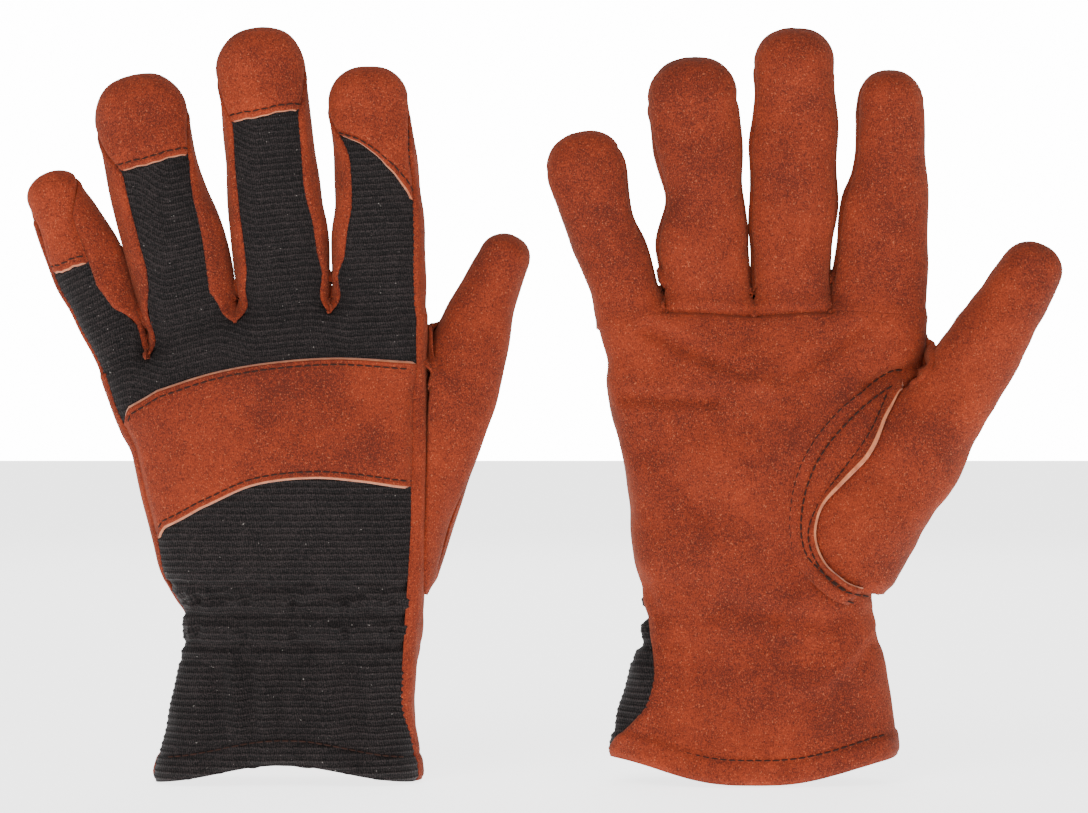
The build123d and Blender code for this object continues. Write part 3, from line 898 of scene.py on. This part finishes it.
def elastic(glove):
    """The elastic sewn inside the wrist: a narrow band with
    lengthwise grooves, under the gathers of the knit."""
    column, v = np.linspace(0, 1, 60)[None], np.linspace(0, 1, 13)[:, None]
    z = 46.6 + 9.6 * v + 0 * column
    index, little = seams(z)
    turn = -little * 0.9 + (index + little) * 0.9 * column
    p, n = glove.cast(*glove.hand.rays(turn, z), low=0.4, high=1.06)
    lift = -2.7 + relief(glove, p) + 0.12 * np.cos(v * 12 * PI)
    weave = np.stack([p[..., 0], p[..., 2]], axis=-1)
    piece = sheet(f"{glove.name}_wrist_elastic", p + n * lift[..., None], n, "wrist_elastic", 0.7,
                  weave=weave)
    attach(piece, f"{glove.name}_hand")
    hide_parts(f"{glove.name}_wrist_elastic")


# --- pieces of the thumb --------------------------------------------------------------------------
THUMB_OUT = 82.0          # how far along the stall the thumb's own section begins

# Where the thumb's two leathers begin, from the heel of the hand round to
# the web: place, as the distance from the hand's thumb side and the height,
# and the way that the ray looks: across, towards this face, and up.
FRONT_START = ((-9.0, 62, 1, 0, 0), (-6.0, 63.5, 0.5, 0.8, 0), (-10.5, 65.2, 0, 1, 0), (-20.8, 71.5, 0, 1, 0),
               (-26.9, 82, 0, 1, 0), (-27.7, 92.5, 0, 1, 0), (-23.2, 101.5, 0, 1, 0), (-16, 112, 0, 1, 0),
               (-12, 121.5, 0, 1, 0), (-9, 128, 0, 1, 0), (-5.5, 131.5, 0.08, 0.95, 0.1),
               (-1.5, 132, 0.25, 0.8, 0.35))
BACK_START = ((-9.0, 62, 1, 0, 0), (-4.0, 64, 0.7, 0.7, 0), (0.4, 71, 0, 1, 0), (0.4, 83, 0, 1, 0),
              (0.4, 95, 0, 1, 0),
              (0.4, 107, 0, 1, 0), (0.5, 118, 0, 1, 0), (0.7, 125, 0.05, 1, 0), (0.9, 129, 0.2, 0.8, 0.4))
# Outline of what the thumb's front leather covers of the palm.
THUMB_COVERS = ((107, 62), (100, 65.2), (91, 71.5), (87, 82), (88.5, 92.5), (95, 101.5), (104.5, 112),
                (111, 123),
                (115.5, 130), (120, 134), (127, 141.6), (145, 141), (170, 100), (145, 55), (113, 57))


def thumb_leather(glove, part, face):
    """One of the thumb's two leathers. Its lowest row follows the start curve on the hand, and
    its rays turn from there into the thumb's own, round half of the stall and over the dome."""
    stall, side = glove.stalls["thumb"], glove.palm * face
    start_rows = FRONT_START if face > 0 else BACK_START
    reach = stall.length + stall.half[-1] * PI / 2
    v = fine_ends(46, 0.95)[None]
    u = np.concatenate([np.linspace(0, 1, 70)[:-1], np.linspace(1, 2, 44)[:-1], np.linspace(2, 3, 16)])
    u = u[:, None]
    s = np.where(u <= 1, THUMB_OUT, np.where(u <= 2, THUMB_OUT + (stall.length - THUMB_OUT) * (u - 1),
                                             stall.length + (reach - stall.length) * (u - 2)))
    turn = PI / 2 + face * PI * v if face > 0 else PI / 2 - PI * v
    origin, way, guess = stall.rays(s, turn + 0 * s)
    web_x, web_z, web_side, web_up = glove.spec["web"]
    rows = np.array(start_rows, float)
    rows[:, 0] += np.interp(rows[:, 1], GLOVES["right"].hand.z, GLOVES["right"].hand.high)
    rows[:, :2] = from_edge(glove, rows[:, :2])
    last = (web_x - 12 * web_side, web_z - 12 * web_up, web_side, 0.04, web_up)
    rows = spline(np.vstack([rows, last]), v[0] * len(rows))
    first = rows[:, :2]
    ray_origin = np.stack([first[:, 0], 0 * first[:, 0] + glove.palm * 2.0, first[:, 1]], axis=-1)[None]
    ray_way = np.stack([rows[:, 2], side * rows[:, 3], rows[:, 4]], axis=-1)[None]
    turned = np.clip(u, 0, 1)[..., None]
    origin = ray_origin + (origin - ray_origin) * turned
    way = unit(unit(ray_way) + (way - unit(ray_way)) * turned)
    free = ease((v - 0.72) / 0.2) * ease(u / 0.15) + ease((u - 0.75) * 4) * (1 - ease((v - 0.72) / 0.2))
    p, n = glove.cast(origin, way, 13 + (guess - 13) * turned[..., 0], low=0.3,
                      high=1.8 - 0.68 * ease((u - 0.5) * 2),
                      own=(stall, free))
    width = stall.half.mean() * PI
    height = relief(glove, p)
    closing = 1 - 0.999 * ease((s - reach + 3) / 3)
    for distance in (v * width * closing, (1 - v) * width * closing):
        height += dip(distance, 0.8)
    begin = turned[..., 0] * 40
    height += -1.3 * (1 - ease(begin / 3)) if face > 0 else dip(begin, 0.9)
    if face < 0:
        x, z = p[..., 0], p[..., 2]
        bump = from_edge(glove, ((129, 125), (123, 84)))
        height += 1.3 * np.exp(-(((x - bump[0, 0]) / 6) ** 2 + ((z - bump[0, 1]) / 13) ** 2))
        height -= 0.9 * np.exp(-(((x - bump[1, 0]) / 4) ** 2 + ((z - bump[1, 1]) / 16) ** 2))
    piece = sheet(f"{glove.name}_thumb_{part}", p + n * height[..., None], n, "thumb_suede", LEATHER)
    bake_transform(piece)
    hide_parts(f"{glove.name}_thumb_{part}")
    if face > 0:
        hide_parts(f"{glove.name}_thumb_gusset")


def patch(glove):
    """The crescent of suede over the thumb's seam: its outer edge is sewn flat to the palm, and
    its inner edge is raw and stands over the thumb's leather. Three stitch rows follow it."""
    outside, welt = from_edge(glove, PATCH_EDGE), from_edge(glove, WELT)
    v, u = fine_ends(110, 1.1)[:, None], fine_ends(12, 0.9, count=3)[None]
    one = spline(outside, v * (len(outside) - 1))
    two = spline(welt, v * (len(welt) - 1))
    place = one + (two - one) * u[..., None]
    p, n = glove.cast(*glove.plan(place[..., 0], place[..., 1], 1), high=1.9)
    wide = np.linalg.norm(two - one, axis=-1)
    raw = (1 - u) * wide
    height = relief(glove, p) + 0.25 + 1.15 * ease(u * 1.6) + 0.5 * np.exp(-(((raw - 1.2) / 1.5) ** 2))
    height += groove(p, from_edge(glove, INNER_ROW)) + groove(p, from_edge(glove, THIRD_ROW))
    height += 0.6 * cut_edge(raw) - 0.5 * np.exp(-((u * wide / 0.8) ** 2))
    height -= 2.0 * ease((v - 0.94) / 0.06) * (1 - 0.5 * u) + 1.2 * ease((0.05 - v) / 0.05)
    edge = (slice(None), slice(-RAW_ROWS, None))
    piece = sheet(f"{glove.name}_thumb_patch", p + n * height[..., None], n, "palm_suede", LEATHER, raw=edge)
    body = f"{glove.name}_hand"
    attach(piece, body)
    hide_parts(f"{glove.name}_thumb_patch")
    runs, normals = [], []
    for curve, lift in ((OUTER_ROW, 0.1), (INNER_ROW, 0.95), (THIRD_ROW, 1.1)):
        line = from_edge(glove, curve)
        line = spline(line, np.linspace(0, len(line) - 1, 160))
        q, m = glove.cast(*glove.plan(line[:, 0], line[:, 1], 1), high=1.9)
        runs.append(q + m * (relief(glove, q) + lift)[..., None])
        normals.append(m)
    stitches(f"{glove.name}_patch_stitches", runs, normals, body)


# --- materials ------------------------------------------------------------------------------------
class Value:
    """A shader socket that Python's operators work on: each adds a Math node and gives its result."""

    def __init__(self, paint, socket):
        self.paint, self.socket = paint, socket

    def _math(self, operation, first, second):
        return self.paint.node("ShaderNodeMath", {"operation": operation}, {0: first, 1: second})[0]

    def __add__(self, other):
        return self._math("ADD", self, other)

    def __sub__(self, other):
        return self._math("SUBTRACT", self, other)

    def __rsub__(self, other):
        return self._math("SUBTRACT", other, self)

    def __mul__(self, other):
        return self._math("MULTIPLY", self, other)

    def sin(self):
        return self._math("SINE", self, 0.0)

    def over(self, limit):
        return self._math("GREATER_THAN", self, limit)

    __radd__, __rmul__ = __add__, __mul__


class Paint:
    """A material and its nodes."""

    def __init__(self, name):
        self.material = bpy.data.materials.new(name)
        self.material.use_nodes = True
        self.tree = self.material.node_tree
        self.shader = self.tree.nodes["Principled BSDF"]

    def node(self, kind, settings=None, inputs=None):
        """Adds a node, sets it, fills its sockets with values or links, and gives its outputs."""
        node = self.tree.nodes.new(kind)
        for name, value in (settings or {}).items():
            setattr(node, name, value)
        for key, value in (inputs or {}).items():
            self.fill(node.inputs[key], value)
        return [Value(self, socket) for socket in node.outputs]

    def fill(self, socket, value):
        if isinstance(value, Value):
            self.tree.links.new(value.socket, socket)
        else:
            socket.default_value = value

    def set(self, **inputs):
        """Fills the shader's own sockets; an underscore in a name stands for a space."""
        for name, value in inputs.items():
            self.fill(self.shader.inputs[name.replace("_", " ")], value)
        return self.material

    def place(self):
        return self.node("ShaderNodeTexCoord")[3]

    def weave(self):
        """The two weave coordinates in millimetres: across the wales, and along the courses."""
        uv = self.node("ShaderNodeUVMap", {"uv_map": "weave"})[0]
        return self.node("ShaderNodeSeparateXYZ", None, {0: uv})[:2]

    def noise(self, size, detail=2.0, rough=0.55, at=None, stretch=None):
        """Noise from 0 to 1 with features of a size in millimetres."""
        at = at or self.place()
        if stretch:
            at = self.node("ShaderNodeMapping", None, {0: at, "Scale": stretch})[0]
        return self.node("ShaderNodeTexNoise", None,
                         {"Vector": at, "Scale": 1000 / size, "Detail": detail, "Roughness": rough})[0]

    def mix(self, share, one, two):
        return self.node("ShaderNodeMix", {"data_type": "RGBA"}, {0: share, 6: one, 7: two})[2]

    def bump(self, height, millimetres, strength=1.0, below=None):
        inputs = {"Height": height, "Distance": millimetres * MM, "Strength": strength}
        if below:
            inputs["Normal"] = below
        return self.node("ShaderNodeBump", None, inputs)[0]

    def limit(self, value):
        return self.node("ShaderNodeClamp", None, {0: value})[0]


WORN_FIBRE = (0.56, 0.15, 0.06, 1)
SUEDE_DARK, SUEDE_LIT = (0.070, 0.0090, 0.0036), (0.290, 0.038, 0.0110)


def suede(name, shade=1.0):
    """Split-leather suede: broad patches where the nap lies another way, cloudy mottling, and
    a short crossed fibre that shows as light and dark flecks and as a fine raised grain."""
    paint = Paint(name)
    broad, cloud = paint.noise(26, 2), paint.noise(5, 3, 0.6)
    fleck = paint.noise(0.42, 3, 0.75, stretch=(1.0, 1.0, 0.75))
    nap = paint.noise(0.9, 4, 0.75, stretch=(0.75, 1.0, 1.0))
    tone = (broad - 0.5) * 1.1 + (cloud - 0.5) * 0.5 + (fleck - 0.5) * 2.8 + (nap - 0.5) * 1.1 + 0.38
    tone = paint.limit(tone)
    dark, lit = (tuple(c * shade for c in colour) + (1,) for colour in (SUEDE_DARK, SUEDE_LIT))
    colour = paint.mix(tone, dark, lit)
    worn = paint.noise(0.55, 1, 0.5, stretch=(1.0, 1.0, 0.9)).over(0.68)
    colour = paint.mix(worn * 0.35, colour, WORN_FIBRE)
    grain = paint.bump(fleck * 0.8 + nap * 0.7, 0.42, below=paint.bump(cloud, 0.4))
    return paint.set(Base_Color=colour, Roughness=0.84 + tone * 0.1, Normal=grain, Specular_IOR_Level=0.2,
                     Sheen_Weight=0.10, Sheen_Roughness=0.4, Sheen_Tint=(1.0, 0.45, 0.25, 1))


def raw_edge(name):
    """The cut edge of the leather: its pale core, roughened by
    loose fibres, with the rust colour showing in places."""
    paint = Paint(name)
    fibre = paint.noise(0.5, 3, 0.7)
    stain = paint.limit(paint.noise(3, 2) * 2.4 - 0.75)
    colour = paint.mix(stain * 0.75, (0.50, 0.165, 0.068, 1), (0.29, 0.062, 0.022, 1))
    return paint.set(Base_Color=colour, Roughness=0.9, Normal=paint.bump(fibre, 0.35), Specular_IOR_Level=0.2,
                     Sheen_Weight=0.25, Sheen_Roughness=0.5)


def knit(name, colour=(0.0078, 0.0058, 0.0057), course=RIB, wale=0.75):
    """Stretch knit in a black yarn: slanted loops along each course, painted shade between the courses where
    the ribs dip, faint melange and a rare speck of lint."""
    paint = Paint(name)
    across, along = paint.weave()
    # The courses' wave raises the bump, and it also darkens the colour in the valleys between the courses as
    # painted shade.
    rib_height_and_shade = ((along * (2 * PI / course) + PI / 2).sin() + (along * (4 * PI / course) + PI / 2).sin() * 0.6
           + 1.6) * 0.31
    slant = (across * (2 * PI / wale) + along * (PI / course)).sin()
    loop = (slant + 1) * 0.5
    yarn = paint.noise(0.45, 3, 0.75)
    cloud = paint.noise(9, 2)
    # The rib term here is painted shade between the courses; loops, yarn and melange are the knit's own tone.
    tone = paint.limit(rib_height_and_shade * 0.40 + loop * 0.45 + (yarn - 0.5) * 4.2 + (cloud - 0.5) * 0.4 - 0.16)
    low, high = tuple(c * 0.01 for c in colour) + (1,), tuple(c * 4.2 for c in colour) + (1,)
    base = paint.mix(tone, low, high)
    lint = paint.noise(1.0, 1, 0.5).over(0.785)
    base = paint.mix(lint * 0.35, base, (0.42, 0.38, 0.35, 1))
    height = rib_height_and_shade * 0.9 + loop * rib_height_and_shade * 0.5 + yarn * 0.35
    return paint.set(Base_Color=base, Roughness=0.78 + 0.15 * tone, Normal=paint.bump(height, 0.28),
                     Specular_IOR_Level=0.16, Sheen_Weight=0.04, Sheen_Roughness=0.4)


def thread(name):
    """Twisted sewing thread in dark brown, with a slight sheen."""
    paint = Paint(name)
    twist, worn = paint.noise(0.3, 2), paint.noise(6, 2)
    colour = paint.mix(paint.limit(worn * 0.7 + twist * 0.4), (0.010, 0.005, 0.004, 1),
                       (0.038, 0.014, 0.009, 1))
    return paint.set(Base_Color=colour, Roughness=0.75, Normal=paint.bump(twist, 0.12),
                     Specular_IOR_Level=0.15)


MATERIALS = {
    "palm_suede": suede("palm suede"),
    "finger_suede": suede("finger suede"),
    "cap_suede": suede("cap suede", 1.16),
    "thumb_suede": suede("thumb suede"),
    "strap_suede": suede("strap suede"),
    "raw edge": raw_edge("raw edge"),
    "back_knit": knit("back knit"),
    "wrist_elastic": knit("wrist elastic", (0.03, 0.028, 0.027), 1.5, 1.2),
    "thread": thread("thread"),
}
EDGES = {"cap_suede": "raw edge", "strap_suede": "raw edge", "palm_suede": "raw edge"}

for glove in GLOVES.values():
    palm(glove)
    knit_back(glove)
    strap(glove)
    hem_rows(glove)
    elastic(glove)
    patch(glove)
    thumb_leather(glove, "front", 1)
    thumb_leather(glove, "back", -1)
    for f in FINGERS:
        finger(glove, f)


# --- the studio -----------------------------------------------------------------------------------
def floor():
    """A broad pale floor under the cuffs."""
    mesh = bpy.data.meshes.new("floor")
    side = 6.0
    mesh.from_pydata([(-side, -side, 0), (side, -side, 0), (side, side, 0), (-side, side, 0)], [],
                     [(0, 1, 2, 3)])
    paint = Paint("floor")
    speck = paint.noise(40, 2)
    mesh.materials.append(paint.set(Base_Color=paint.mix(speck, (0.86, 0.86, 0.86, 1), (0.88, 0.88, 0.88, 1)),
                                    Roughness=0.7, Emission_Color=(1, 1, 1, 1), Emission_Strength=2.8))
    obj = bpy.data.objects.new("floor", mesh)
    bpy.context.scene.collection.objects.link(obj)


def light(name, place, size, power):
    """A square soft light that faces the middle of the gloves."""
    lamp = bpy.data.lights.new(name, "AREA")
    lamp.shape, lamp.size, lamp.energy = "SQUARE", size, power
    obj = bpy.data.objects.new(name, lamp)
    obj.location = place
    obj.rotation_euler = look(place, MIDDLE)
    bpy.context.scene.collection.objects.link(obj)


def look(place, target):
    """Turn that points a camera or a lamp from one place at another."""
    return (Vector(target) - Vector(place)).to_track_quat("-Z", "Y").to_euler()


SKY_LIGHT, SKY_SEEN = 0.42, 15.0     # the white studio's light, and how bright it looks behind the gloves
MIDDLE = (0, 0, 0.126)
CAMERA = (0, -1.016, 0.126)

floor()
light("key", (-0.55, -1.1, 1.25), 0.9, 15)
light("fill", (1.1, -0.9, 0.5), 1.2, 4)
light("back", (0.1, 1.2, 1.1), 1.4, 10)

world = bpy.data.worlds.new("studio")
world.use_nodes = True
background = world.node_tree.nodes["Background"]
background.inputs["Color"].default_value = (1, 1, 1, 1)
rays = world.node_tree.nodes.new("ShaderNodeLightPath")
range_of = world.node_tree.nodes.new("ShaderNodeMapRange")
range_of.inputs["To Min"].default_value, range_of.inputs["To Max"].default_value = SKY_LIGHT, SKY_SEEN
world.node_tree.links.new(rays.outputs["Is Camera Ray"], range_of.inputs["Value"])
world.node_tree.links.new(range_of.outputs[0], background.inputs["Strength"])
bpy.context.scene.world = world

camera = bpy.data.cameras.new("camera")
camera.lens, camera.sensor_width = 100, 36
view = bpy.data.objects.new("camera", camera)
view.location, view.rotation_euler = CAMERA, look(CAMERA, MIDDLE)
bpy.context.scene.collection.objects.link(view)
bpy.context.scene.camera = view

bpy.context.view_layer.update()
